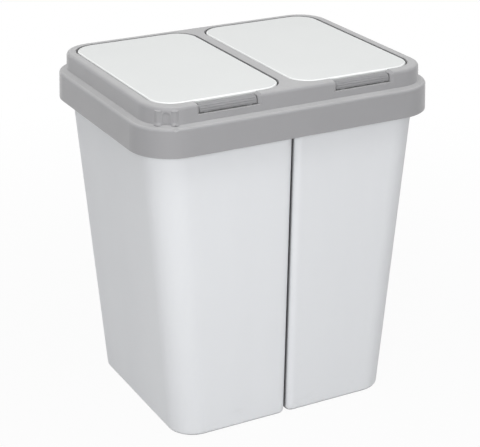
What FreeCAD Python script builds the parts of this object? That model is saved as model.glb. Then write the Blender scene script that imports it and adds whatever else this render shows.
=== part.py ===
import FreeCAD, Part
import math
import os

from FreeCAD import Vector

# Double recycling bin: two tapered buckets under one lid frame with two hinged lids.
# Millimetres, +Z up, front towards -Y, origin on the floor under the middle of the whole bin.

# Buckets
BUCKET_HEIGHT = 468.0
BUCKET_GAP = 3.0              # slit between the two flat inner walls
BUCKET_FOOT_X = 170.4         # half width of the pair at the floor
BUCKET_FOOT_Y = 142.0         # half depth at the floor
BUCKET_DRAFT_X = 0.0795       # outward lean of the outer wall per mm of height
BUCKET_DRAFT_Y = 0.0326       # outward lean of the front and back walls per mm of height
BUCKET_WALL = 2.5
BUCKET_FLOOR = 3.0
BUCKET_CORNER_FOOT = 39.0
BUCKET_CORNER_TOP = 45.5
BUCKET_INNER_CORNER = 10.0
BUCKET_EDGE_ROUND = 6.0
BUCKET_RIM_X = 8.5            # how far the rim stands out past the outer wall
BUCKET_RIM_Y = 11.5           # how far it stands out past the front and back walls
BUCKET_RIM_THICK = 3.0
BUCKET_RIM_DROP = 11.0
BUCKET_RIM_LIP = 2.5

# Lid frame
BAND_BOTTOM = 432.0
BAND_TOP = 471.0
BAND_X = 222.5                # half width at the lower edge
BAND_Y = 174.0                # half depth at the lower edge
BAND_LEAN = 1.4               # how much narrower each half is at the ledge
BAND_CORNER = 59.5
BAND_EDGE_ROUND = 3.5
BAND_FOOT_ROUND = 0.8
FRAME_WALL = 2.6
LEDGE_UNDERSIDE = 468.3
LEDGE_SLOPE_START = 4.0
LEDGE_TOP = 473.5
TIER_X = 209.8                # half width of the upper tier where it leaves the ledge
TIER_Y = 163.2
TIER_LEAN = 1.1
TIER_CORNER = 46.0
DECK_TOP = 497.0
DECK_EDGE_ROUND = 5.0
OPENING_WALL = 2.5
OPENING_WALL_BOTTOM = 479.0
OPENING_EDGE_ROUND = 0.6

# Lids
LID_CENTRE_X = 101.35
LID_HALF_X = 91.75
LID_FRONT = -145.5
LID_BACK = 149.6
LID_CORNER = 32.0
LID_GAP = 2.5
LID_THICK = 2.5
LID_SKIRT = 2.2
LID_SKIRT_BOTTOM = 489.5
LID_EDGE_ROUND = 2.6
LID_RIB_THICK = 2.0
LID_RIB_DEPTH = 4.0

# Hinge
HINGE_Y = LID_BACK - 31.0     # the lid behind it dips into the bin as the front rises
HINGE_Z = 489.0
PIN_RADIUS = 3.0
PIN_CLEARANCE = 0.06
EAR_RADIUS = 6.0
EAR_OUTER = LID_HALF_X - 1.9
EAR_INNER = LID_HALF_X - 8.4
FRAME_BOSS_RADIUS = 5.5
FRAME_BOSS_END = LID_HALF_X + 7.5
LID_SPRING_WIRE = 1.2
LID_SPRING_RADIUS = 4.4
LID_SPRING_QUARTERS = 22      # five and a half turns
LID_SPRING_PITCH = 1.9
LID_SPRING_LEG = 24.0
LID_SPRING_EAR_GAP = 1.6
TANG_REACH = 8.0              # how far in front of the hinge the spring's tang enters the wall
TANG_BEND = 1.8
TANG_HOLE_RADIUS = 1.1
OUTER_PIN_REACH = 12.0        # how far each pin runs inwards past the lid's ear
INNER_PIN_REACH = 1.0
PIN_CHAMFER = 0.5

# Press buttons, set back behind the tier's face in pockets with chamfered sides
BUTTON_HALF_X = 41.4
BUTTON_RECESS = 3.0
BUTTON_ROUND = 7.0
BUTTON_FACE = -(TIER_Y - TIER_LEAN) + BUTTON_RECESS
BUTTON_CROWN = DECK_TOP - BUTTON_RECESS
BUTTON_END_ROUND = 0.8
POCKET_HALF_X = 42.4
POCKET_WALL = 2.2
POCKET_CHAMFER = 3.6
POCKET_BACK_TOP = 491.3       # the button's top runs back over this wall, up to the lid
POCKET_BACK = -149.5
POCKET_FLOOR_TOP = 482.6
POCKET_FLOOR_THICK = 1.9
BUTTON_REAR = -148.5
BUTTON_BOTTOM = 484.3
BUTTON_SKIN = 2.4
BUTTON_TRAVEL = 2.5
RIB_COUNT = 4
RIB_START = 2.2               # first rib's height above the button's lower edge
RIB_SPACING = 3.0             # measured over the rounded face
RIB_RADIUS = 0.9
RIB_PROUD = 0.5
RIB_END_GAP = 1.2
CATCH_ARM_IN = 8.0
CATCH_ARM_OUT = 11.0
CATCH_BOTTOM = 484.1
CATCH_TOP = 486.8
CATCH_BAR_FRONT = -134.6
CATCH_BAR_BACK = -131.6
CATCH_WINDOW_HALF = 12.5
CATCH_WINDOW_TOP = 488.2
PRONG_HALF_X = 5.0
PRONG_FRONT = -140.0
PRONG_BACK = -137.5
PRONG_BOTTOM = 478.0
BARB_TIP = -135.0
BARB_TOP = 483.6
LEG_X = 31.0
LEG_HALF_X = 3.0
LEG_FRONT = -158.2
LEG_BACK = -155.2
LEG_TOP = 491.2
FOOT_HALF_X = 5.0
FOOT_TOP = 480.3
FOOT_BOTTOM = 478.5
BUTTON_SPRING_WIRE = 0.6
BUTTON_SPRING_RADIUS = 2.2
BUTTON_SPRING_QUARTERS = 14   # three and a half turns
BUTTON_SPRING_Z = 487.3
BUTTON_SPRING_FRONT = -156.0  # front seat, a pad behind the button's skin
BUTTON_SPRING_PAD = 3.2
BUTTON_SPRING_X = 20.0
BUTTON_SPRING_SEAT = 0.15     # daylight between each end coil and its seat

# Latch covers under the pockets, and their screws
COVER_TOP = 477.9
COVER_THICK = 2.0
COVER_HALF_X = 41.0
COVER_FRONT = -156.8
COVER_BACK = -143.8
SCREW_X = 37.4
SCREW_Y = -146.6
SCREW_RADIUS = 1.5
SCREW_BOSS_RADIUS = 3.2
SCREW_HEAD_RADIUS = 2.8
SCREW_HEAD_HEIGHT = 2.0
SCREW_LENGTH = 5.5

# Rest pads that the closed lids sit on
REST_X = 54.0
REST_HALF_X = 4.5
REST_DEPTH = 9.0
REST_TOP = 487.4
REST_THICK = 3.4
PAD_RADIUS = 3.4
PAD_HEIGHT = 1.8
PAD_Y = -143.6

# Moulded front left corner of the upper tier: a vertical flute between two ridges
FLUTE_ANGLE = 32.5
FLUTE_RADIUS = 9.5
FLUTE_DEPTH = 2.8
FLUTE_TOP = 484.6
RIDGE_ANGLES = (18.5, 46.5)
RIDGE_RADIUS = 6.0
RIDGE_PROUD = 1.4
RIDGE_TOP = 492.5
RIDGE_TOP_ROUND = 1.0
RIDGE_FLARE_RADIUS = 7.8      # at the foot
RIDGE_CAP_RADIUS = 6.6        # at the top
RIDGE_FLARE_HEIGHT = 3.6
NOTCH_HALF = 4.6              # half width of the V notch in the ledge's edge
NOTCH_DEPTH = 1.4
NOTCH_SLOPE = 40.0
NOTCH_LENGTH = 14.0

X_AXIS = Vector(1, 0, 0)
Y_AXIS = Vector(0, 1, 0)
Z_AXIS = Vector(0, 0, 1)
ORIGIN = Vector(0, 0, 0)


def box(x0, x1, y0, y1, z0, z1):
    return Part.makeBox(x1 - x0, y1 - y0, z1 - z0, Vector(x0, y0, z0))


def round_rect(x0, x1, y0, y1, z, radii):
    """Rounded rectangle at height z; radii are front left, front right, back right, back left."""
    fl, fr, br, bl = radii
    corners = (
        (Vector(x0 + fl, y0 + fl, z), fl, 180.0),
        (Vector(x1 - fr, y0 + fr, z), fr, 270.0),
        (Vector(x1 - br, y1 - br, z), br, 0.0),
        (Vector(x0 + bl, y1 - bl, z), bl, 90.0),
    )
    ends = []
    arcs = []
    for centre, radius, start in corners:
        points = []
        for step in (0.0, 45.0, 90.0):
            angle = math.radians(start + step)
            points.append(centre + Vector(math.cos(angle), math.sin(angle), 0) * radius)
        arcs.append(Part.Arc(*points).toShape())
        ends.append((points[0], points[2]))
    edges = []
    for index in range(len(corners)):
        edges.append(arcs[index])
        edges.append(Part.LineSegment(ends[index][1], ends[(index + 1) % 4][0]).toShape())
    return Part.Wire(edges)


def centred_rect(half_x, half_y, z, radius, centre_x=0.0, centre_y=0.0):
    return round_rect(centre_x - half_x, centre_x + half_x, centre_y - half_y, centre_y + half_y,
                      z, (radius,) * 4)


def loft(*wires):
    return Part.makeLoft(list(wires), True, True)


def prism(wire, height):
    return Part.Face(wire).extrude(Vector(0, 0, height))


def round_edges_at(shape, z, radius):
    edges = [edge for edge in shape.Edges
             if abs(edge.BoundBox.ZMin - z) < 1e-4 and abs(edge.BoundBox.ZMax - z) < 1e-4]
    return shape.makeFillet(radius, edges)


def mirrored(shape):
    return shape.mirror(ORIGIN, X_AXIS)


# --- Buckets -------------------------------------------------------------------------------

def bucket_section(z, inset=0.0, grow_x=0.0, grow_y=0.0):
    """Outline of the left bucket at height z; grow pushes out the outer, front and back walls."""
    half_x = BUCKET_FOOT_X + BUCKET_DRAFT_X * z - inset + grow_x
    half_y = BUCKET_FOOT_Y + BUCKET_DRAFT_Y * z - inset + grow_y
    share = z / BUCKET_HEIGHT
    corner = BUCKET_CORNER_FOOT + (BUCKET_CORNER_TOP - BUCKET_CORNER_FOOT) * share
    corner += max(grow_x, grow_y) - inset
    inner = BUCKET_INNER_CORNER - inset
    inner_wall = -BUCKET_GAP / 2 - inset
    return round_rect(-half_x, inner_wall, -half_y, half_y, z, (corner, inner, inner, corner))


def make_bucket():
    outer = loft(bucket_section(0.0), bucket_section(BUCKET_HEIGHT))
    outer = round_edges_at(outer, 0.0, BUCKET_EDGE_ROUND)
    rim_bottom = BUCKET_HEIGHT - BUCKET_RIM_DROP
    grow = {"grow_x": BUCKET_RIM_X, "grow_y": BUCKET_RIM_Y}
    rim = loft(bucket_section(rim_bottom, **grow), bucket_section(BUCKET_HEIGHT, **grow))
    lip = {"grow_x": BUCKET_RIM_X - BUCKET_RIM_LIP, "grow_y": BUCKET_RIM_Y - BUCKET_RIM_LIP}
    under_rim = loft(bucket_section(rim_bottom, **lip),
                     bucket_section(BUCKET_HEIGHT - BUCKET_RIM_THICK, **lip))
    cavity = loft(bucket_section(BUCKET_FLOOR, BUCKET_WALL),
                  bucket_section(BUCKET_HEIGHT + 1.0, BUCKET_WALL))
    cavity = round_edges_at(cavity, BUCKET_FLOOR, BUCKET_EDGE_ROUND - BUCKET_WALL)
    return outer.fuse(rim.cut(under_rim)).cut(cavity).removeSplitter()


# --- Lid frame -----------------------------------------------------------------------------

def band_section(z, inset=0.0):
    lean = BAND_LEAN * (z - BAND_BOTTOM) / (BAND_TOP - BAND_BOTTOM)
    return centred_rect(BAND_X - lean - inset, BAND_Y - lean - inset, z, BAND_CORNER - lean - inset)


def tier_section(z, inset=0.0):
    lean = TIER_LEAN * (z - LEDGE_TOP) / (DECK_TOP - LEDGE_TOP)
    return centred_rect(TIER_X - lean - inset, TIER_Y - lean - inset, z, TIER_CORNER - lean - inset)


def tier_solid(inset, bottom):
    """The upper tier as a closed block, its walls and deck set in by inset."""
    top = DECK_TOP - inset
    block = loft(tier_section(bottom, inset), tier_section(top, inset))
    return round_edges_at(block, top, max(DECK_EDGE_ROUND - inset, 0.5))


def tier_corner_point(angle, inward):
    """Point on the front left corner of the tier, angle degrees round from the front face."""
    reach = TIER_CORNER - inward
    turn = math.radians(angle)
    return Vector(-TIER_X + TIER_CORNER - reach * math.sin(turn),
                  -TIER_Y + TIER_CORNER - reach * math.cos(turn), LEDGE_TOP)


def tier_corner_ridges():
    """The two ridges, and the thicker wall behind the flute between them."""
    base = LEDGE_TOP - 0.5
    ridges = []
    for angle in RIDGE_ANGLES:
        foot = tier_corner_point(angle, RIDGE_RADIUS - RIDGE_PROUD)
        foot.z = base
        cap = Part.makeCone(RIDGE_RADIUS, RIDGE_CAP_RADIUS, RIDGE_FLARE_HEIGHT,
                            foot + Z_AXIS * (RIDGE_TOP - RIDGE_FLARE_HEIGHT - base))
        ridges.append(Part.makeCylinder(RIDGE_RADIUS, RIDGE_TOP - base - 1.0, foot))
        ridges.append(Part.makeCone(RIDGE_FLARE_RADIUS, RIDGE_RADIUS, RIDGE_FLARE_HEIGHT, foot))
        ridges.append(round_edges_at(cap, RIDGE_TOP, RIDGE_TOP_ROUND))
    ridges = [ridge.cut(tier_solid(FRAME_WALL, LEDGE_UNDERSIDE)) for ridge in ridges]
    backing = tier_corner_point(FLUTE_ANGLE, FLUTE_DEPTH - FLUTE_RADIUS)
    block = Part.makeCylinder(FLUTE_RADIUS + FRAME_WALL, DECK_TOP - LEDGE_TOP, backing)
    ridges.append(block.common(tier_solid(FRAME_WALL / 2, LEDGE_TOP)))
    return ridges


def flute_cutter():
    centre = tier_corner_point(FLUTE_ANGLE, FLUTE_DEPTH - FLUTE_RADIUS)
    shaft = Part.makeCylinder(FLUTE_RADIUS, FLUTE_TOP - LEDGE_TOP, centre)
    return shaft.fuse(Part.makeSphere(FLUTE_RADIUS, centre + Z_AXIS * (FLUTE_TOP - LEDGE_TOP)))


def ledge_notch():
    """V groove that slopes down over the ledge's edge at the foot of the first ridge."""
    turn = math.radians(RIDGE_ANGLES[0])
    outward = Vector(-math.sin(turn), -math.cos(turn), 0)
    across = Vector(math.cos(turn), -math.sin(turn), 0)
    slope = math.radians(NOTCH_SLOPE)
    down = outward * math.cos(slope) - Z_AXIS * math.sin(slope)
    square = outward * math.sin(slope) + Z_AXIS * math.cos(slope)
    reach = BAND_CORNER - BAND_LEAN - BAND_EDGE_ROUND * (1 - math.sin(slope))
    edge = Vector(-BAND_X + BAND_CORNER, -BAND_Y + BAND_CORNER,
                  BAND_TOP - BAND_EDGE_ROUND * (1 - math.cos(slope))) + outward * reach
    start = edge - square * NOTCH_DEPTH - down * (NOTCH_LENGTH / 2)
    rise = square * (2 * NOTCH_DEPTH)
    profile = Part.makePolygon([start, start + across * (2 * NOTCH_HALF) + rise,
                                start - across * (2 * NOTCH_HALF) + rise, start])
    return Part.Face(profile).extrude(down * NOTCH_LENGTH)


def lid_opening(grow, z0, z1, side):
    wire = centred_rect(LID_HALF_X + LID_GAP + grow, (LID_BACK - LID_FRONT) / 2 + LID_GAP + grow,
                        z0, LID_CORNER + LID_GAP + grow, side * LID_CENTRE_X,
                        (LID_BACK + LID_FRONT) / 2)
    return prism(wire, z1 - z0)


def frame_shell():
    band = round_edges_at(loft(band_section(BAND_BOTTOM), band_section(BAND_TOP)),
                          BAND_TOP, BAND_EDGE_ROUND)
    band = round_edges_at(band, BAND_BOTTOM, BAND_FOOT_ROUND)
    slope = loft(band_section(BAND_TOP, LEDGE_SLOPE_START), tier_section(LEDGE_TOP))
    shell = band.fuse([slope, tier_solid(0.0, LEDGE_TOP)]).removeSplitter()
    band_cavity = loft(band_section(BAND_BOTTOM - 1.0, FRAME_WALL),
                       band_section(LEDGE_UNDERSIDE, FRAME_WALL))
    tier_cavity = tier_solid(FRAME_WALL, LEDGE_UNDERSIDE - 1.0)
    shell = shell.cut([band_cavity, tier_cavity]).fuse(tier_corner_ridges())
    return shell.cut([flute_cutter(), ledge_notch()])


def pocket_parts(centre_x):
    """Floor, side walls and screw bosses of the pocket that one press button slides in."""
    outer = POCKET_HALF_X + POCKET_WALL
    floor_bottom = POCKET_FLOOR_TOP - POCKET_FLOOR_THICK
    back = POCKET_BACK + 1.0
    front = -TIER_Y - 1.0
    wide = POCKET_HALF_X + POCKET_CHAMFER + POCKET_WALL
    slabs = [box(centre_x - wide, centre_x + wide, front, back, floor_bottom, POCKET_FLOOR_TOP)]
    parts = []
    rind = tier_solid(0.0, LEDGE_TOP).cut(tier_solid(POCKET_CHAMFER + POCKET_WALL, LEDGE_TOP - 1.0))
    for sign in (-1, 1):
        inner = centre_x + sign * POCKET_HALF_X
        far = centre_x + sign * outer
        slabs.append(box(min(inner, far), max(inner, far), front, back, floor_bottom, DECK_TOP))
        wide_far = centre_x + sign * wide
        parts.append(rind.common(box(min(inner, wide_far), max(inner, wide_far), front, back,
                                     floor_bottom, DECK_TOP)))
        boss = Vector(centre_x + sign * SCREW_X, SCREW_Y, COVER_TOP)
        parts.append(Part.makeCylinder(SCREW_BOSS_RADIUS, floor_bottom - COVER_TOP + 1.0, boss))
        parts.append(box(boss.x - SCREW_BOSS_RADIUS, boss.x + SCREW_BOSS_RADIUS, POCKET_BACK - 1.0,
                         SCREW_Y, floor_bottom, POCKET_FLOOR_TOP))
    block = tier_solid(0.0, LEDGE_TOP)
    return [block.common(slab) for slab in slabs] + parts


def pocket_flare(centre_x, sign):
    """Chamfer down one side of the pocket, over the tier's rounded edge and back to the lid."""
    over = 1.0
    front = -(TIER_Y - TIER_LEAN)
    turn = front + DECK_EDGE_ROUND
    low = DECK_TOP - DECK_EDGE_ROUND
    bend = DECK_EDGE_ROUND * math.sqrt(0.5)
    side = centre_x + sign * POCKET_HALF_X
    foot = Vector(side, front, POCKET_FLOOR_TOP)
    path = [Part.LineSegment(foot, Vector(side, front, low)).toShape(),
            Part.Arc(Vector(side, front, low), Vector(side, turn - bend, low + bend),
                     Vector(side, turn, DECK_TOP)).toShape(),
            Part.LineSegment(Vector(side, turn, DECK_TOP),
                             Vector(side, LID_FRONT, DECK_TOP)).toShape()]
    inner = side - sign * over
    profile = Part.makePolygon([
        foot + Vector(sign * (POCKET_CHAMFER + over), -over, 0),
        Vector(inner, foot.y - over, foot.z),
        Vector(inner, foot.y + POCKET_CHAMFER + over, foot.z),
        foot + Vector(sign * (POCKET_CHAMFER + over), -over, 0)])
    return Part.Wire(path).makePipeShell([profile], True, False)


def pocket_cuts(centre_x):
    cuts = [box(centre_x - POCKET_HALF_X, centre_x + POCKET_HALF_X, -TIER_Y - 2.0, POCKET_BACK,
                POCKET_FLOOR_TOP, DECK_TOP + 1.0),
            box(centre_x - POCKET_HALF_X, centre_x + POCKET_HALF_X, POCKET_BACK - 1.0,
                LID_FRONT, POCKET_BACK_TOP, DECK_TOP + 1.0),
            box(centre_x - CATCH_WINDOW_HALF, centre_x + CATCH_WINDOW_HALF, POCKET_BACK - 1.0,
                LID_FRONT, POCKET_FLOOR_TOP, CATCH_WINDOW_TOP)]
    for sign in (-1, 1):
        cuts.append(pocket_flare(centre_x, sign))
        leg_x = centre_x + sign * LEG_X
        cuts.append(box(leg_x - LEG_HALF_X - 0.4, leg_x + LEG_HALF_X + 0.4, LEG_FRONT - 0.5,
                        LEG_BACK + BUTTON_TRAVEL + 0.5, COVER_TOP, POCKET_FLOOR_TOP + 1.0))
        screw = Vector(centre_x + sign * SCREW_X, SCREW_Y, COVER_TOP - 1.0)
        cuts.append(Part.makeCylinder(SCREW_RADIUS, SCREW_LENGTH - COVER_THICK + 1.5, screw))
    return cuts


def hinge_bosses(centre_x):
    bosses = []
    for sign in (-1, 1):
        start = centre_x + sign * (LID_HALF_X + LID_GAP + OPENING_WALL / 2)
        bosses.append(Part.makeCylinder(FRAME_BOSS_RADIUS,
                                        FRAME_BOSS_END - LID_HALF_X - LID_GAP - OPENING_WALL / 2,
                                        Vector(start, HINGE_Y, HINGE_Z), X_AXIS * sign))
    return bosses


def hinge_holes(centre_x, side):
    holes = []
    for sign in (-1, 1):
        start = Vector(centre_x + sign * LID_HALF_X, HINGE_Y, HINGE_Z)
        holes.append(Part.makeCylinder(PIN_RADIUS + PIN_CLEARANCE,
                                       FRAME_BOSS_END - LID_HALF_X + 1.0, start, X_AXIS * sign))
    tang = Vector(centre_x + side * LID_HALF_X, HINGE_Y - TANG_REACH,
                  HINGE_Z - LID_SPRING_RADIUS)
    holes.append(Part.makeCylinder(TANG_HOLE_RADIUS, FRAME_BOSS_END - LID_HALF_X, tang,
                                   X_AXIS * side))
    return holes


def lid_rests(centre_x):
    rests = []
    for sign in (-1, 1):
        rest_x = centre_x + sign * REST_X
        front = LID_FRONT - LID_GAP - OPENING_WALL / 2
        rests.append(box(rest_x - REST_HALF_X, rest_x + REST_HALF_X, front,
                         LID_FRONT - LID_GAP + REST_DEPTH, REST_TOP - REST_THICK, REST_TOP))
    return rests


def on_opening_edge(edge):
    """True for the edges of the two lid openings in the deck."""
    size = edge.BoundBox
    level = abs(size.ZMin - DECK_TOP) < 1e-4 and abs(size.ZMax - DECK_TOP) < 1e-4
    outer = LID_CENTRE_X + LID_HALF_X + LID_GAP + 0.1
    return (level and size.XMin > -outer and size.XMax < outer
            and size.YMin > LID_FRONT - LID_GAP - 0.1 and size.YMax < LID_BACK + LID_GAP + 0.1)


def make_lid_frame():
    frame = frame_shell()
    walls = []
    holes = []
    added = []
    cuts = []
    for side in (-1, 1):
        centre_x = side * LID_CENTRE_X
        walls.append(lid_opening(OPENING_WALL, OPENING_WALL_BOTTOM, DECK_TOP - 1.0, side))
        holes.append(lid_opening(0.0, OPENING_WALL_BOTTOM - 1.0, DECK_TOP + 1.0, side))
        added += pocket_parts(centre_x) + hinge_bosses(centre_x) + lid_rests(centre_x)
        cuts += pocket_cuts(centre_x) + hinge_holes(centre_x, side)
    frame = frame.fuse(walls).cut(holes)
    edges = [edge for edge in frame.Edges if on_opening_edge(edge)]
    frame = frame.makeFillet(OPENING_EDGE_ROUND, edges)
    return frame.fuse(added).cut(cuts).removeSplitter()


# --- Lids ----------------------------------------------------------------------------------

def lid_block(inset, z0, z1, centre_x):
    wire = centred_rect(LID_HALF_X - inset, (LID_BACK - LID_FRONT) / 2 - inset, z0,
                        LID_CORNER - inset, centre_x, (LID_BACK + LID_FRONT) / 2)
    return prism(wire, z1 - z0)


def lid_ribs(centre_x):
    """Stiffening ribs under the lid, clear of the hinge and the latch prong."""
    top = DECK_TOP - LID_THICK + 0.5
    bottom = top - 0.5 - LID_RIB_DEPTH
    ribs = []
    for share in (-0.5, 0.0, 0.5):
        rib_x = centre_x + share * LID_HALF_X
        ribs.append(box(rib_x - LID_RIB_THICK / 2, rib_x + LID_RIB_THICK / 2,
                        PRONG_BACK + 14.0, LID_BACK - 4.0, bottom, top))
    for rib_y in (PRONG_BACK + 15.0, -15.0, HINGE_Y - 32.0):
        ribs.append(box(centre_x - LID_HALF_X + 1.0, centre_x + LID_HALF_X - 1.0,
                        rib_y - LID_RIB_THICK / 2, rib_y + LID_RIB_THICK / 2, bottom, top))
    return ribs


def make_lid(centre_x):
    body = round_edges_at(lid_block(0.0, LID_SKIRT_BOTTOM, DECK_TOP, centre_x), DECK_TOP,
                          LID_EDGE_ROUND)
    body = body.cut(lid_block(LID_SKIRT, LID_SKIRT_BOTTOM - 1.0, DECK_TOP - LID_THICK, centre_x))
    under = DECK_TOP - LID_THICK
    prong = box(centre_x - PRONG_HALF_X, centre_x + PRONG_HALF_X, PRONG_FRONT, PRONG_BACK,
                PRONG_BOTTOM, under + 0.5)
    barb_profile = Part.makePolygon([
        Vector(centre_x - PRONG_HALF_X, PRONG_BACK - 0.5, PRONG_BOTTOM),
        Vector(centre_x - PRONG_HALF_X, PRONG_BACK, PRONG_BOTTOM),
        Vector(centre_x - PRONG_HALF_X, BARB_TIP, BARB_TOP - 1.2),
        Vector(centre_x - PRONG_HALF_X, BARB_TIP, BARB_TOP),
        Vector(centre_x - PRONG_HALF_X, PRONG_BACK - 0.5, BARB_TOP),
        Vector(centre_x - PRONG_HALF_X, PRONG_BACK - 0.5, PRONG_BOTTOM)])
    barb = Part.Face(barb_profile).extrude(Vector(2 * PRONG_HALF_X, 0, 0))
    ears = []
    bores = []
    for sign in (-1, 1):
        start = Vector(centre_x + sign * EAR_INNER, HINGE_Y, HINGE_Z)
        ears.append(Part.makeCylinder(EAR_RADIUS, EAR_OUTER - EAR_INNER, start, X_AXIS * sign))
        near = centre_x + sign * EAR_INNER
        far = centre_x + sign * EAR_OUTER
        ears.append(box(min(near, far), max(near, far), HINGE_Y - EAR_RADIUS, HINGE_Y + EAR_RADIUS,
                        HINGE_Z, under + 0.5))
        bores.append(Part.makeCylinder(PIN_RADIUS, LID_HALF_X - EAR_INNER + 2.0,
                                       start - X_AXIS * sign, X_AXIS * sign))
    return body.fuse([prong, barb] + ears + lid_ribs(centre_x)).cut(bores).removeSplitter()


def make_hinge_pin(centre_x, sign, inward_reach):
    """Stub pin pressed into the lid's ear; its free end turns in the frame's boss."""
    inner = EAR_INNER - inward_reach
    outer = FRAME_BOSS_END - 0.6
    start = Vector(centre_x + sign * inner, HINGE_Y, HINGE_Z)
    pin = Part.makeCylinder(PIN_RADIUS, outer - inner, start, X_AXIS * sign)
    ends = [edge for edge in pin.Edges if edge.BoundBox.XLength < 1e-4]
    return pin.makeChamfer(PIN_CHAMFER, ends)


# --- Springs -------------------------------------------------------------------------------

def arc_from_tangents(start, control, end):
    """Arc that leaves start towards control and reaches end from it."""
    middle = (start + end) * 0.5
    half_chord = (end - middle).Length
    rise = (control - middle).Length
    sagitta = half_chord * math.tan(math.atan2(rise, half_chord) / 2)
    return Part.Arc(start, middle + (control - middle) * (sagitta / rise), end).toShape()


def biarc(start, start_way, end, end_way):
    """Two arcs, tangent to each other, from start to end in the two given directions."""
    span = end - start
    ways = start_way + end_way
    bend = 2.0 * (1.0 - start_way.dot(end_way))
    along = span.dot(ways)
    reach = (-along + math.sqrt(along * along + bend * span.dot(span))) / bend
    first = start + start_way * reach
    second = end - end_way * reach
    joint = (first + second) * 0.5
    return [arc_from_tangents(start, first, joint), arc_from_tangents(joint, second, end)]


def coil_points(centre, axis, side_way, radius, pitch, quarters):
    """Quarter turn points of a helix, each with its direction there."""
    across = axis.cross(side_way)
    rise = pitch / (2 * math.pi)
    points = []
    for quarter in range(quarters + 1):
        angle = quarter * math.pi / 2
        out = side_way * math.cos(angle) + across * math.sin(angle)
        way = across * math.cos(angle) - side_way * math.sin(angle)
        point = centre + out * radius + axis * (rise * angle)
        points.append((point, (way * radius + axis * rise).normalize()))
    return points


def coil_edges(points):
    edges = []
    for index in range(len(points) - 1):
        start, start_way = points[index]
        end, end_way = points[index + 1]
        edges += biarc(start, start_way, end, end_way)
    return edges


def wire_tube(edges, start, way, radius):
    profile = Part.Wire(Part.makeCircle(radius, start, way))
    return Part.Wire(edges).makePipeShell([profile], True, False)


def report_coil_gap(name, pitch, wire):
    print(name, "least gap between turns", round(pitch - wire, 2), "mm")


def make_lid_spring():
    """Torsion spring round the left lid's outer pin.

    One leg lies under the lid and the other ends in a tang through the frame's wall.
    """
    outward = X_AXIS * -1
    length = LID_SPRING_PITCH * LID_SPRING_QUARTERS / 4
    outer_end = -LID_CENTRE_X - EAR_INNER + LID_SPRING_EAR_GAP
    centre = Vector(outer_end + length, HINGE_Y, HINGE_Z)
    points = coil_points(centre, outward, Z_AXIS, LID_SPRING_RADIUS, LID_SPRING_PITCH,
                         LID_SPRING_QUARTERS)
    report_coil_gap("lid spring", LID_SPRING_PITCH, LID_SPRING_WIRE)
    start, start_way = points[0]
    end, end_way = points[-1]
    leg_end = start - start_way * LID_SPRING_LEG
    bend_start = end + end_way * (TANG_REACH - TANG_BEND)
    bend_control = end + end_way * TANG_REACH
    bend_end = bend_control + outward * TANG_BEND
    tang_end = Vector(-LID_CENTRE_X - LID_HALF_X - LID_GAP - OPENING_WALL - 1.2,
                      bend_end.y, bend_end.z)
    edges = [Part.LineSegment(leg_end, start).toShape()]
    edges += coil_edges(points)
    edges.append(Part.LineSegment(end, bend_start).toShape())
    edges.append(arc_from_tangents(bend_start, bend_control, bend_end))
    edges.append(Part.LineSegment(bend_end, tang_end).toShape())
    return wire_tube(edges, leg_end, start_way, LID_SPRING_WIRE / 2)


def make_button_spring(centre_x, sign):
    front = BUTTON_SPRING_FRONT + BUTTON_SPRING_SEAT + BUTTON_SPRING_WIRE / 2
    back = POCKET_BACK - BUTTON_SPRING_SEAT - BUTTON_SPRING_WIRE / 2
    pitch = (back - front) * 4 / BUTTON_SPRING_QUARTERS
    centre = Vector(centre_x + sign * BUTTON_SPRING_X, front, BUTTON_SPRING_Z)
    points = coil_points(centre, Y_AXIS, X_AXIS, BUTTON_SPRING_RADIUS, pitch,
                         BUTTON_SPRING_QUARTERS)
    report_coil_gap("button spring", pitch, BUTTON_SPRING_WIRE)
    return wire_tube(coil_edges(points), points[0][0], points[0][1], BUTTON_SPRING_WIRE / 2)


# --- Press buttons and latch covers --------------------------------------------------------

def button_outline(x, inset):
    """Side outline of the button: upright face, rounded edge, top running back to the lid."""
    front = BUTTON_FACE + inset
    top = BUTTON_CROWN - inset
    turn = BUTTON_FACE + BUTTON_ROUND
    low = BUTTON_CROWN - BUTTON_ROUND
    bend = (BUTTON_ROUND - inset) * math.sqrt(0.5)
    rear = BUTTON_REAR + inset
    bottom = BUTTON_BOTTOM - inset
    corners = [Vector(x, turn, top), Vector(x, rear, top), Vector(x, rear, bottom),
               Vector(x, front, bottom), Vector(x, front, low)]
    edges = [Part.Arc(corners[-1], Vector(x, turn - bend, low + bend), corners[0]).toShape()]
    for start, end in zip(corners, corners[1:]):
        edges.append(Part.LineSegment(start, end).toShape())
    return Part.Face(Part.Wire(edges))


def face_point(distance):
    """Point and outward direction on the button's face, measured up from its lower edge."""
    straight = BUTTON_CROWN - BUTTON_ROUND - BUTTON_BOTTOM
    if distance < straight:
        return Vector(0, BUTTON_FACE, BUTTON_BOTTOM + distance), Vector(0, -1, 0)
    angle = (distance - straight) / BUTTON_ROUND
    out = Vector(0, -math.cos(angle), math.sin(angle))
    centre = Vector(0, BUTTON_FACE + BUTTON_ROUND, BUTTON_CROWN - BUTTON_ROUND)
    return centre + out * BUTTON_ROUND, out


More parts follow.
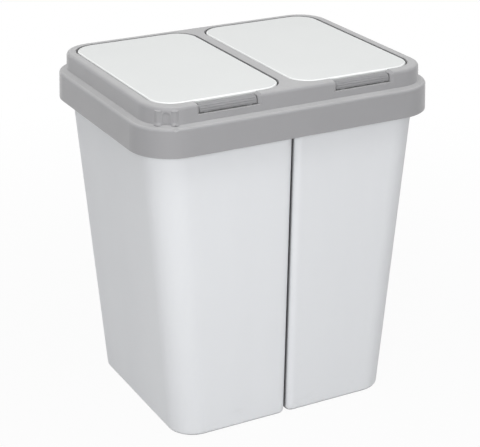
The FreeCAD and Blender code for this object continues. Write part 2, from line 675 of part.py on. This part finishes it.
def make_button(centre_x):
    left = centre_x - BUTTON_HALF_X
    right = centre_x + BUTTON_HALF_X
    width = right - left
    outside = button_outline(left, 0.0).extrude(X_AXIS * width)
    ends = [edge for edge in outside.Edges
            if edge.BoundBox.XLength < 1e-4 and edge.BoundBox.ZMax > BUTTON_BOTTOM + 0.1
            and edge.BoundBox.YMin < BUTTON_REAR - 0.1]
    outside = outside.makeFillet(BUTTON_END_ROUND, ends)
    inside = button_outline(left + BUTTON_SKIN, BUTTON_SKIN).extrude(
        X_AXIS * (width - 2 * BUTTON_SKIN))
    below_top = box(left - 1.0, right + 1.0, POCKET_BACK - BUTTON_TRAVEL - 0.5, BUTTON_REAR + 1.0,
                    BUTTON_BOTTOM - 1.0, BUTTON_CROWN - BUTTON_SKIN)
    button = outside.cut([inside, below_top])
    added = []
    for index in range(RIB_COUNT):
        point, out = face_point(RIB_START + index * RIB_SPACING)
        start = point - out * (RIB_RADIUS - RIB_PROUD)
        start.x = left + RIB_END_GAP
        added.append(Part.makeCylinder(RIB_RADIUS, width - 2 * RIB_END_GAP, start, X_AXIS))
    skin_back = BUTTON_FACE + BUTTON_SKIN - 0.5
    for sign in (-1, 1):
        near = centre_x + sign * CATCH_ARM_IN
        far = centre_x + sign * CATCH_ARM_OUT
        added.append(box(min(near, far), max(near, far), skin_back, CATCH_BAR_BACK,
                         CATCH_BOTTOM, CATCH_TOP))
        leg = centre_x + sign * LEG_X
        added.append(box(leg - LEG_HALF_X, leg + LEG_HALF_X, LEG_FRONT, LEG_BACK, FOOT_BOTTOM,
                         LEG_TOP))
        added.append(box(leg - FOOT_HALF_X, leg + FOOT_HALF_X, LEG_FRONT, LEG_BACK, FOOT_BOTTOM,
                         FOOT_TOP))
        seat = centre_x + sign * BUTTON_SPRING_X
        added.append(box(seat - BUTTON_SPRING_PAD, seat + BUTTON_SPRING_PAD, skin_back,
                         BUTTON_SPRING_FRONT, BUTTON_BOTTOM - 1.0, BUTTON_SPRING_Z + 3.2))
    added.append(box(centre_x - CATCH_ARM_OUT, centre_x + CATCH_ARM_OUT, CATCH_BAR_FRONT,
                     CATCH_BAR_BACK, CATCH_BOTTOM, CATCH_TOP))
    return button.fuse(added).removeSplitter()


def make_latch_cover(centre_x):
    cover = box(centre_x - COVER_HALF_X, centre_x + COVER_HALF_X, COVER_FRONT, COVER_BACK,
                COVER_TOP - COVER_THICK, COVER_TOP)
    upright = [edge for edge in cover.Edges if edge.BoundBox.ZLength > COVER_THICK / 2]
    cover = cover.makeFillet(COVER_THICK, upright)
    holes = []
    for sign in (-1, 1):
        start = Vector(centre_x + sign * SCREW_X, SCREW_Y, COVER_TOP - COVER_THICK - 1.0)
        holes.append(Part.makeCylinder(SCREW_RADIUS + 0.2, COVER_THICK + 2.0, start))
    return cover.cut(holes)


def make_screw(centre_x, sign):
    seat = Vector(centre_x + sign * SCREW_X, SCREW_Y, COVER_TOP - COVER_THICK)
    head = Part.makeCylinder(SCREW_HEAD_RADIUS, SCREW_HEAD_HEIGHT, seat, Z_AXIS * -1)
    rim = [edge for edge in head.Edges
           if abs(edge.BoundBox.ZMax - (seat.z - SCREW_HEAD_HEIGHT)) < 1e-4]
    head = head.makeFillet(SCREW_HEAD_HEIGHT / 2, rim)
    drive_depth = SCREW_HEAD_HEIGHT * 0.6
    low = seat.z - SCREW_HEAD_HEIGHT - 0.5
    slots = [box(seat.x - 1.6, seat.x + 1.6, seat.y - 0.35, seat.y + 0.35, low,
                 low + 0.5 + drive_depth),
             box(seat.x - 0.35, seat.x + 0.35, seat.y - 1.6, seat.y + 1.6, low,
                 low + 0.5 + drive_depth)]
    return head.cut(slots).fuse(Part.makeCylinder(SCREW_RADIUS, SCREW_LENGTH, seat))


def make_rest_pad(centre_x, sign):
    base = Vector(centre_x + sign * REST_X, PAD_Y, REST_TOP)
    pad = Part.makeCylinder(PAD_RADIUS, PAD_HEIGHT, base)
    top = [edge for edge in pad.Edges
           if abs(edge.BoundBox.ZMin - (REST_TOP + PAD_HEIGHT)) < 1e-4]
    return pad.makeFillet(PAD_HEIGHT / 3, top)


def pair(maker, centre_x):
    return Part.makeCompound([maker(centre_x, sign) for sign in (-1, 1)])


def left_nodes():
    centre_x = -LID_CENTRE_X
    return {
        "bucket": make_bucket(),
        "lid": make_lid(centre_x),
        "outer_hinge_pin": make_hinge_pin(centre_x, -1, OUTER_PIN_REACH),
        "inner_hinge_pin": make_hinge_pin(centre_x, 1, INNER_PIN_REACH),
        "lid_spring": make_lid_spring(),
        "press_button": make_button(centre_x),
        "button_springs": pair(make_button_spring, centre_x),
        "latch_cover": make_latch_cover(centre_x),
        "cover_screws": pair(make_screw, centre_x),
        "rest_pads": pair(make_rest_pad, centre_x),
    }


def main():
    os.makedirs("parts", exist_ok=True)
    nodes = {"lid_frame": make_lid_frame()}
    for name, shape in left_nodes().items():
        nodes["left_" + name] = shape
        nodes["right_" + name] = mirrored(shape)
    for name, shape in nodes.items():
        shape.exportStep("parts/" + name + ".step")
        size = shape.BoundBox
        print(name, "solids", len(shape.Solids), "valid", shape.isValid(), "cm3",
              round(shape.Volume / 1000, 2), [round(v, 1) for v in (
                  size.XMin, size.XMax, size.YMin, size.YMax, size.ZMin, size.ZMax)])


main()
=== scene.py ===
import bmesh
import bpy
import math
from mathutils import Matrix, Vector


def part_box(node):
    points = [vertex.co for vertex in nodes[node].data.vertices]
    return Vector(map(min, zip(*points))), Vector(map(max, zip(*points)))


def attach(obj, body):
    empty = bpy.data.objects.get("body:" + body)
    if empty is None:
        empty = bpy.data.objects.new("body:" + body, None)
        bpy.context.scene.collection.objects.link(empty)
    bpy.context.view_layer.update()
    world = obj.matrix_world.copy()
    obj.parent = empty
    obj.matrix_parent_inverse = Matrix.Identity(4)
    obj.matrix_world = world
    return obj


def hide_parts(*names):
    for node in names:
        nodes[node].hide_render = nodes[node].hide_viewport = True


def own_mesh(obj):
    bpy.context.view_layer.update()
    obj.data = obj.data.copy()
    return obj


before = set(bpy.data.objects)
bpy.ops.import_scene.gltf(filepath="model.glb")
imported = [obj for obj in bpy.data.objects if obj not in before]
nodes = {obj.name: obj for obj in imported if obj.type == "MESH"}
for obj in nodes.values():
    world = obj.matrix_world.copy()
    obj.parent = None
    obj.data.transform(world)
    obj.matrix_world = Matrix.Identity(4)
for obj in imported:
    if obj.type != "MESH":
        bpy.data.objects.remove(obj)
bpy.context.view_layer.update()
sides = ("left", "right")
print("bin frame loaded,", len(nodes), "CAD pieces")


# shader maths: a Wire is one socket on its way through a node tree

class Wire:
    def __init__(self, graph, socket):
        self.graph = graph
        self.socket = socket

    def __add__(self, other):
        return self.graph.sum("ADD", self, other)

    def __sub__(self, other):
        return self.graph.sum("SUBTRACT", self, other)

    def __mul__(self, other):
        return self.graph.sum("MULTIPLY", self, other)

    def __rsub__(self, other):
        return self.graph.sum("SUBTRACT", other, self)

    __radd__ = __add__
    __rmul__ = __mul__


class Graph:
    def __init__(self, owner):
        owner.use_nodes = True
        self.owner = owner
        self.tree = owner.node_tree
        self.tree.nodes.clear()

    def node(self, kind, settings=None, sockets=None, out=0):
        made = self.tree.nodes.new(kind)
        for key, value in (settings or {}).items():
            if key == "stops":
                self.fillRamp(made.color_ramp, value)
            else:
                setattr(made, key, value)
        for key, value in (sockets or {}).items():
            self.plug(made.inputs[key], value)
        return Wire(self, made.outputs[out]) if len(made.outputs) else None

    def plug(self, socket, value):
        if isinstance(value, Wire):
            self.tree.links.new(value.socket, socket)
        elif value is not None:
            socket.default_value = value

    def fillRamp(self, ramp, stops):
        while len(ramp.elements) < len(stops):
            ramp.elements.new(0.5)
        for element, (place, level) in zip(ramp.elements, stops):
            element.position = place
            element.color = (level, level, level, 1)

    def sum(self, operation, a, b, clamp=False):
        return self.node("ShaderNodeMath", {"operation": operation, "use_clamp": clamp},
                         {0: a, 1: b})

    def coords(self, stretch=None):
        place = self.node("ShaderNodeTexCoord", out="Object")
        if stretch is None:
            return place
        return self.node("ShaderNodeMapping", None, {"Vector": place, "Scale": stretch})

    def noise(self, scale, detail=3.0, rough=0.5, stretch=None):
        return self.node("ShaderNodeTexNoise", None,
                         {"Vector": self.coords(stretch), "Scale": scale, "Detail": detail,
                          "Roughness": rough})

    def ramp(self, value, *stops):
        return self.node("ShaderNodeValToRGB", {"stops": stops}, {"Fac": value})

    def patches(self, fade, **cloud):
        # noise cut into patches, nought below the first level of the fade and one above the second
        return self.ramp(self.noise(**cloud), (fade[0], 0.0), (fade[1], 1.0))

    def mixColour(self, share, a, b):
        return self.node("ShaderNodeMix", {"data_type": "RGBA"}, {0: share, 6: a, 7: b}, out=2)

    def height(self):
        return self.node("ShaderNodeSeparateXYZ", None, {"Vector": self.coords()}, out=2)

    def upward(self):
        return self.node("ShaderNodeSeparateXYZ", None,
                         {"Vector": self.node("ShaderNodeNewGeometry", out="Normal")}, out=2)

    def crevice(self, reach, dark, clear):
        # mask for painted shade from ambient occlusion: one deep in a narrow gap, nought in the
        # open
        sky = self.node("ShaderNodeAmbientOcclusion", {"samples": 8}, {"Distance": reach},
                        out="AO")
        return self.ramp(sky, (dark, 1.0), (clear, 0.0))

    def uneven(self, level, spread, scale, detail):
        return self.noise(scale, detail) * spread + (level - spread / 2)

    def bump(self, height, distance, strength, below=None):
        return self.node("ShaderNodeBump", None, {"Height": height, "Distance": distance,
                                                  "Strength": strength, "Normal": below})

    def grain(self, scale, depth, strength, below=None):
        return self.bump(self.noise(scale, 2.0, 0.6), depth, strength, below)

    def finish(self, sockets):
        self.close(self.node("ShaderNodeBsdfPrincipled", None, sockets))
        return self.owner

    def close(self, shader, kind="ShaderNodeOutputMaterial"):
        self.node(kind, None, {"Surface": shader})


def newGraph(name):
    return Graph(bpy.data.materials.new(name))


def paint(nodeName, material):
    mesh = nodes[nodeName].data
    mesh.materials.clear()
    mesh.materials.append(material)


# moulded plastics

plasticIor = 1.49

bucketLook = {
    "base": (0.808, 0.822, 0.844, 1.0),
    "flow": (0.776, 0.790, 0.814, 1.0),
    "scuff": (0.640, 0.642, 0.645, 1.0),
    # colour of the painted shade in the slit between the buckets and other tight gaps
    "paintedShade": (0.045, 0.045, 0.047, 1.0),
    "flowLines": {"scale": 5.0, "detail": 4.0, "rough": 0.55, "stretch": (3.0, 3.0, 0.45)},
    "flowStops": ((0.35, 0.0), (0.75, 0.55)),
    "rub": {"scale": 38.0, "detail": 6.0, "rough": 0.6, "stretch": (1.0, 1.0, 2.6),
            "fade": (0.56, 0.72)},
    "rubHeight": 0.05,             # scuffed up to here from the floor
    "rubShare": 0.22,
    "hair": {"scale": 90.0, "detail": 2.0, "rough": 0.5, "stretch": (9.0, 9.0, 0.35),
             "fade": (0.68, 0.78)},
    "hairShare": 0.05,
    "hairRough": 0.10,
    "crevice": {"reach": 0.009, "dark": 0.25, "clear": 0.55},
    "paintedShadeShare": 0.9,
    "roughness": {"level": 0.40, "spread": 0.10, "scale": 22.0, "detail": 3.0},
    "wave": {"scale": 7.0, "detail": 1.0, "rough": 0.4, "stretch": (1.0, 1.0, 0.6)},
    "waveBump": {"distance": 0.0006, "strength": 0.5},
    "grain": {"scale": 1400.0, "depth": 0.00004, "strength": 0.35},
}


def bucketPlastic():
    g = newGraph("bucketPlastic")
    look = bucketLook
    flow = g.ramp(g.noise(**look["flowLines"]), *look["flowStops"])   # drawn up from the foot
    colour = g.mixColour(flow, look["base"], look["flow"])
    foot = g.ramp(g.height(), (0.0, 1.0), (look["rubHeight"], 0.0))
    rub = g.patches(**look["rub"])
    colour = g.mixColour(rub * foot * look["rubShare"], colour, look["scuff"])
    hair = g.patches(**look["hair"])
    colour = g.mixColour(hair * look["hairShare"], colour, look["scuff"])
    # painted shade: ambient occlusion darkens the colour in the slit between the buckets and other
    # tight gaps
    paintedShade = g.crevice(**look["crevice"])
    colour = g.mixColour(paintedShade * look["paintedShadeShare"], colour, look["paintedShade"])
    rough = g.uneven(**look["roughness"]) + hair * look["hairRough"]
    normal = g.bump(g.noise(**look["wave"]), **look["waveBump"])
    normal = g.grain(**look["grain"], below=normal)
    return g.finish({"Base Color": colour, "Roughness": rough, "Normal": normal,
                     "IOR": plasticIor})


frameLook = {
    "base": (0.335, 0.333, 0.343, 1.0),
    "tint": (0.320, 0.318, 0.328, 1.0),
    "dust": (0.520, 0.522, 0.520, 1.0),
    # colour of the painted shade in the gaps round the lids and other tight gaps
    "paintedShade": (0.018, 0.018, 0.018, 1.0),
    "cloud": {"scale": 14.0, "detail": 4.0, "rough": 0.55, "fade": (0.36, 0.70)},
    "cloudShare": 0.7,
    "dustSpots": {"scale": 24.0, "detail": 6.0, "rough": 0.65},
    "dustStops": ((0.25, 0.55), (0.75, 1.0)),
    "dustLies": ((0.6, 0.0), (0.95, 1.0)),      # by how far the surface faces up
    "dustShare": 0.55,
    "crevice": {"reach": 0.007, "dark": 0.28, "clear": 0.52},
    "paintedShadeShare": 0.92,
    "roughness": {"level": 0.50, "spread": 0.12, "scale": 30.0, "detail": 4.0},
    "grain": {"scale": 1500.0, "depth": 0.00005, "strength": 0.4},
    "sheen": 0.40,
    "sheenRoughness": 0.45,
}


def framePlastic():
    g = newGraph("framePlastic")
    look = frameLook
    cloud = g.patches(**look["cloud"])
    colour = g.mixColour(cloud * look["cloudShare"], look["base"], look["tint"])
    dust = g.ramp(g.noise(**look["dustSpots"]), *look["dustStops"])
    lying = dust * g.ramp(g.upward(), *look["dustLies"]) * look["dustShare"]
    colour = g.mixColour(lying, colour, look["dust"])
    # painted shade: ambient occlusion darkens the colour in the gaps round the lids and other tight
    # gaps
    paintedShade = g.crevice(**look["crevice"])
    colour = g.mixColour(paintedShade * look["paintedShadeShare"], colour, look["paintedShade"])
    return g.finish({"Base Color": colour, "Roughness": g.uneven(**look["roughness"]),
                     "Normal": g.grain(**look["grain"]), "IOR": plasticIor,
                     "Sheen Weight": look["sheen"], "Sheen Roughness": look["sheenRoughness"]})


lidLook = {
    "base": (0.735, 0.752, 0.746, 1.0),
    "tint": (0.708, 0.725, 0.719, 1.0),
    "smear": (0.655, 0.669, 0.665, 1.0),
    # colour of the painted highlight on the rounded edges
    "paintedHighlight": (0.930, 0.945, 0.940, 1.0),
    "cloud": {"scale": 6.0, "detail": 4.0, "rough": 0.5, "fade": (0.38, 0.72)},
    "cloudShare": 0.6,
    "smears": {"scale": 26.0, "detail": 7.0, "rough": 0.62, "stretch": (1.0, 2.4, 1.0),
               "fade": (0.60, 0.82)},
    "smearShare": 0.18,
    "smearRough": 0.06,
    "edgeTurn": ((0.20, 0.0), (0.45, 1.0), (0.96, 1.0), (0.995, 0.0)),
    "edgeShare": 0.9,
    "roughness": {"level": 0.46, "spread": 0.12, "scale": 18.0, "detail": 4.0},
    "grain": {"scale": 1300.0, "depth": 0.00006, "strength": 0.4},
    "coat": 0.70,
    "coatRoughness": 0.12,
}


def lidPlastic():
    g = newGraph("lidPlastic")
    look = lidLook
    cloud = g.patches(**look["cloud"])
    colour = g.mixColour(cloud * look["cloudShare"], look["base"], look["tint"])
    smear = g.patches(**look["smears"])
    colour = g.mixColour(smear * look["smearShare"], colour, look["smear"])
    edge = g.ramp(g.upward(), *look["edgeTurn"])                 # painted highlight: the rounded edge is painted bright
    colour = g.mixColour(edge * look["edgeShare"], colour, look["paintedHighlight"])
    rough = g.uneven(**look["roughness"]) - smear * look["smearRough"]
    return g.finish({"Base Color": colour, "Roughness": rough,
                     "Normal": g.grain(**look["grain"]), "IOR": plasticIor,
                     "Coat Weight": look["coat"], "Coat Roughness": look["coatRoughness"]})


buttonLook = {
    "base": (0.262, 0.262, 0.270, 1.0),
    "tint": (0.300, 0.300, 0.308, 1.0),
    "cloud": {"scale": 70.0, "detail": 5.0, "rough": 0.6, "stretch": (0.5, 1.0, 1.0),
              "fade": (0.45, 0.75)},
    "cloudShare": 0.5,
    "roughness": {"level": 0.40, "spread": 0.12, "scale": 120.0, "detail": 3.0},
    "grain": {"scale": 1600.0, "depth": 0.00004, "strength": 0.35},
}

coverLook = {
    "base": (0.27, 0.27, 0.275, 1.0),
    "tint": (0.31, 0.31, 0.315, 1.0),
    "cloud": {"scale": 110.0, "detail": 4.0, "rough": 0.6, "fade": (0.4, 0.7)},
    "cloudShare": 0.6,
    "roughness": {"level": 0.50, "spread": 0.14, "scale": 160.0, "detail": 3.0},
    "grain": {"scale": 1500.0, "depth": 0.00005, "strength": 0.4},
}


def plainPlastic(name, look):
    g = newGraph(name)
    cloud = g.patches(**look["cloud"])
    colour = g.mixColour(cloud * look["cloudShare"], look["base"], look["tint"])
    return g.finish({"Base Color": colour, "Roughness": g.uneven(**look["roughness"]),
                     "Normal": g.grain(**look["grain"]), "IOR": plasticIor})


# metals and rubber of the hidden parts

steelLook = {
    "lines": {"scale": 420.0, "detail": 4.0, "rough": 0.6},
    "linesBump": {"distance": 0.00003, "strength": 0.4},
    "linesRough": 0.18,
    "stain": {"scale": 150.0, "detail": 5.0, "rough": 0.6, "fade": (0.48, 0.75)},
    "stainShare": 0.45,
    "stainShade": 0.72,
    "stainRough": 0.08,
}


def drawnSteel(name, base, along, smoothest):
    g = newGraph(name)
    look = steelLook
    drawn = g.noise(**look["lines"], stretch=along)              # die lines run along the wire
    stain = g.patches(**look["stain"])
    dark = tuple(look["stainShade"] * part for part in base[:3]) + (1.0,)
    colour = g.mixColour(stain * look["stainShare"], base, dark)
    rough = drawn * look["linesRough"] + smoothest + stain * look["stainRough"]
    return g.finish({"Base Color": colour, "Metallic": 1.0, "Roughness": rough,
                     "Normal": g.bump(drawn, **look["linesBump"])})


padLook = {
    "base": (0.045, 0.045, 0.047, 1.0),
    "bloom": (0.10, 0.10, 0.10, 1.0),
    "bloomSpots": {"scale": 240.0, "detail": 5.0, "rough": 0.6, "fade": (0.45, 0.8)},
    "bloomShare": 0.5,
    "bloomRough": 0.12,
    "roughness": 0.66,
    "grain": {"scale": 1800.0, "depth": 0.00006, "strength": 0.5},
}


def padRubber():
    g = newGraph("padRubber")
    look = padLook
    bloom = g.patches(**look["bloomSpots"])
    colour = g.mixColour(bloom * look["bloomShare"], look["base"], look["bloom"])
    return g.finish({"Base Color": colour, "Normal": g.grain(**look["grain"]),
                     "Roughness": bloom * look["bloomRough"] + look["roughness"]})


looks = {
    "bucket": bucketPlastic(),
    "lid": lidPlastic(),
    "press_button": plainPlastic("buttonPlastic", buttonLook),
    "latch_cover": plainPlastic("coverPlastic", coverLook),
    "outer_hinge_pin": drawnSteel("pinSteel", (0.60, 0.60, 0.61, 1.0), (0.08, 1.0, 1.0), 0.21),
    "lid_spring": drawnSteel("springSteel", (0.52, 0.52, 0.54, 1.0), (0.6, 1.0, 1.0), 0.19),
    "cover_screws": drawnSteel("screwSteel", (0.66, 0.66, 0.68, 1.0), (1.0, 1.0, 1.0), 0.23),
    "rest_pads": padRubber(),
}
looks["inner_hinge_pin"] = looks["outer_hinge_pin"]
looks["button_springs"] = looks["lid_spring"]
for side in sides:
    for piece, material in looks.items():
        paint(side + "_" + piece, material)
paint("lid_frame", framePlastic())
print("materials made:", len(bpy.data.materials))


# moulding marks that show once a lid is up: ejector marks under it, a gate mark in the bucket

markLook = {
    "segments": 48,
    "lidSkin": 0.0025,
    "bucketFloor": 0.003,
    "ejectorAcross": (-0.068, -0.023, 0.023, 0.068),      # from the middle of the lid
    "ejectorAlong": (-0.070, 0.040),
    "ejectorProfile": ((0.0038, 0.0003), (0.0038, -0.0001), (0.0036, -0.0002), (0.0032, -0.0001),
                       (0.0029, -0.00004)),
    "gateProfile": ((0.0062, -0.0003), (0.0062, 0.0002), (0.0056, 0.0004), (0.0028, 0.0004),
                    (0.0022, 0.0009), (0.0016, 0.0012), (0.0009, 0.0011)),
}


def addTurned(bm, profile, centre):
    count = markLook["segments"]
    rings = []
    for radius, height in profile:
        ring = []
        for step in range(count):
            turn = 2 * math.pi * step / count
            ring.append(bm.verts.new((centre[0] + radius * math.cos(turn),
                                      centre[1] + radius * math.sin(turn), centre[2] + height)))
        rings.append(ring)
    for low, high in zip(rings, rings[1:]):
        for step in range(count):
            after = (step + 1) % count
            bm.faces.new((low[step], low[after], high[after], high[step]))
    bm.faces.new(rings[0])
    bm.faces.new(rings[-1])


def addPiece(name, mesh, body):
    piece = bpy.data.objects.new(name, mesh)
    bpy.context.scene.collection.objects.link(piece)
    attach(piece, body)
    return piece


def makeMarks(name, profile, centres, material, body):
    bm = bmesh.new()
    for centre in centres:
        addTurned(bm, profile, centre)
    bmesh.ops.recalc_face_normals(bm, faces=bm.faces)
    mesh = bpy.data.meshes.new(name)
    bm.to_mesh(mesh)
    bm.free()
    mesh.materials.append(material)
    addPiece(name, mesh, body)


for side in sides:
    low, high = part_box(side + "_lid")
    middle = (low[0] + high[0]) / 2
    under = high[2] - markLook["lidSkin"]
    spots = [(middle + across, along, under) for across in markLook["ejectorAcross"]
             for along in markLook["ejectorAlong"]]
    makeMarks(side + "_ejector_marks", markLook["ejectorProfile"], spots, looks["lid"],
              side + "_lid")
    low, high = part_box(side + "_bucket")
    spots = [((low[0] + high[0]) / 2, 0.0, markLook["bucketFloor"])]
    makeMarks(side + "_gate_mark", markLook["gateProfile"], spots, looks["bucket"],
              "buckets")
print("moulding marks added")


# return springs: each pair sits between its button and the pocket's back wall; a copy with its own
# mesh rides on the frame in place of the CAD piece

for side in sides:
    node = side + "_button_springs"
    springs = addPiece(side + "_return_springs", nodes[node].data.copy(), "frame")
    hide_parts(node)
    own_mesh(springs)


# studio: pale floor, white backdrop, soft boxes

studio = {
    "floorSize": 8.0,
    "floorColour": (0.54, 0.54, 0.54, 1.0),
    "white": (1.0, 1.0, 1.0, 1.0),
    "floorGlow": 0.95,             # share of plain white that the camera sees under the bin
    "floorFade": (0.45, 1.3),      # the floor is plain white from this far out
    "worldStrength": 0.35,
    "mirroredWhite": 0.9,          # how white the surroundings look in the plastic
    "lampsAim": (0.0, 0.0, 0.28),
    "lamps": (
        # name, azimuth from the front, elevation, distance, size, watts
        ("keyBox", -30.0, 19.0, 2.6, 0.8, 29.0),
        ("topBox", -20.0, 78.0, 2.3, 2.0, 29.5),
        ("rightBox", 62.0, 28.0, 3.0, 1.6, 3.5),
        ("backBox", 196.0, 5.0, 3.0, 1.2, 6.5),
    ),
}


def makeFloor():
    half = studio["floorSize"] / 2
    mesh = bpy.data.meshes.new("floor")
    mesh.from_pydata([(-half, -half, 0), (half, -half, 0), (half, half, 0), (-half, half, 0)], [],
                     [(0, 1, 2, 3)])
    floor = bpy.data.objects.new("floor", mesh)
    bpy.context.scene.collection.objects.link(floor)
    g = newGraph("floorPaint")
    seen = g.node("ShaderNodeLightPath", out="Is Camera Ray")
    glossy = g.node("ShaderNodeLightPath", out="Is Glossy Ray")
    diffuse = g.node("ShaderNodeBsdfDiffuse", None, {"Color": studio["floorColour"]})
    white = g.node("ShaderNodeEmission", None, {"Color": studio["white"]})
    far = g.node("ShaderNodeVectorMath", {"operation": "LENGTH"}, {0: g.coords()}, out="Value")
    near, plain = studio["floorFade"]
    fade = g.node("ShaderNodeMapRange", None, {"Value": far, "From Min": near, "From Max": plain,
                                               "To Min": studio["floorGlow"], "To Max": 1.0})
    share = g.sum("MULTIPLY", seen + glossy, fade, clamp=True)
    g.close(g.node("ShaderNodeMixShader", None, {0: share, 1: diffuse, 2: white}))
    mesh.materials.append(g.owner)


def makeWorld():
    world = bpy.data.worlds.new("studioWorld")
    g = Graph(world)
    seen = g.node("ShaderNodeLightPath", out="Is Camera Ray")
    glossy = g.node("ShaderNodeLightPath", out="Is Glossy Ray")
    share = g.sum("ADD", seen, glossy * studio["mirroredWhite"], clamp=True)
    soft = g.node("ShaderNodeBackground", None, {"Color": studio["white"],
                                                 "Strength": studio["worldStrength"]})
    plain = g.node("ShaderNodeBackground", None, {"Color": studio["white"]})
    g.close(g.node("ShaderNodeMixShader", None, {0: share, 1: soft, 2: plain}),
            "ShaderNodeOutputWorld")
    bpy.context.scene.world = world


def aim(thing, target):
    way = (Vector(target) - thing.location).normalized()
    thing.rotation_euler = way.to_track_quat("-Z", "Y").to_euler()


def outward(azimuth, elevation):
    turn = math.radians(azimuth)
    rise = math.radians(elevation)
    return Vector((math.sin(turn) * math.cos(rise), -math.cos(turn) * math.cos(rise),
                   math.sin(rise)))


def makeLamps():
    middle = Vector(studio["lampsAim"])
    for name, azimuth, elevation, distance, size, watts in studio["lamps"]:
        light = bpy.data.lights.new(name, "AREA")
        light.shape = "SQUARE"
        light.size = size
        light.energy = watts
        lamp = bpy.data.objects.new(name, light)
        lamp.location = middle + distance * outward(azimuth, elevation)
        aim(lamp, middle)
        bpy.context.scene.collection.objects.link(lamp)


makeFloor()
makeWorld()
makeLamps()
print("studio ready")


# camera at the photograph's place

view = {
    "azimuth": -28.0,
    "elevation": 22.97,
    "distance": 2.1707,
    "target": (-0.0005, 0.0, 0.2436),
    "focalPixels": 1488.1,
    "imageWidth": 480.0,
    "sensor": 36.0,
    "clipEnd": 50.0,
}


def makeCamera():
    data = bpy.data.cameras.new("photoView")
    data.sensor_width = view["sensor"]
    data.lens = view["focalPixels"] * view["sensor"] / view["imageWidth"]
    data.clip_end = view["clipEnd"]
    camera = bpy.data.objects.new("photoView", data)
    away = outward(view["azimuth"], view["elevation"])
    camera.location = Vector(view["target"]) + away * view["distance"]
    aim(camera, view["target"])
    bpy.context.scene.collection.objects.link(camera)
    bpy.context.scene.camera = camera


makeCamera()
bpy.context.scene.view_settings.view_transform = "Standard"
print("camera placed")
